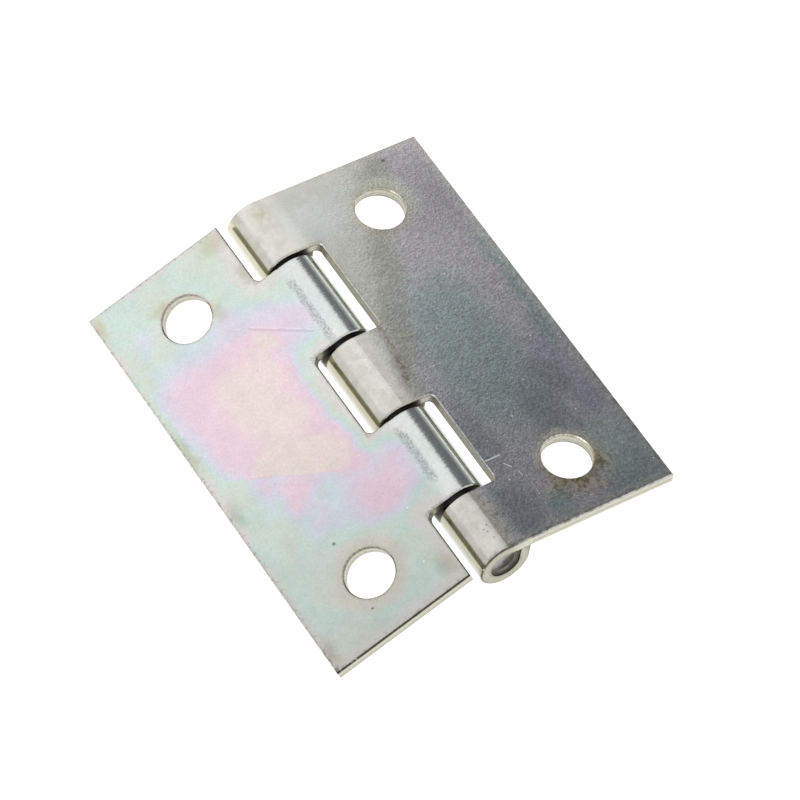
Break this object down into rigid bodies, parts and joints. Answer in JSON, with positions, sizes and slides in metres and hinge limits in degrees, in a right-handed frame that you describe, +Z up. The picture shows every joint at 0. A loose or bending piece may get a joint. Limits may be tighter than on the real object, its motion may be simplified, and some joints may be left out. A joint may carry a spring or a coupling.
{
  "type": "butt hinge",
  "caption": "Zinc-plated sheet-steel butt hinge: rectangular leaves rolled into interlocking knuckles round a plain recessed pin, with punched screw holes.",
  "frame": {"origin": "on the plane the hinge lies on, under the middle of its outline", "axes": "+Y along the pin, +Z up through the flat side of the leaves, +X towards the leaf with three knuckles"},
  "size_m": [0.0402, 0.05, 0.0059],
  "materials": {
    "zinc_plated_sheet": "bright zinc plate with an iridescent passivated film",
    "pin_wire": "drawn steel wire, dull grey"
  },
  "bodies": {
    "fixed_leaf": {"three_knuckle_leaf": "zinc_plated_sheet", "hinge_pin": "pin_wire"},
    "moving_leaf": {"two_knuckle_leaf": "zinc_plated_sheet"}
  },
  "joints": [
    {"name": "leaf_swing", "type": "hinge", "parent": "fixed_leaf", "child": "moving_leaf", "pos_m": [0, 0, 0.00295], "axis": [0, 1, 0], "range_deg": [-163, 125]}
  ]
}
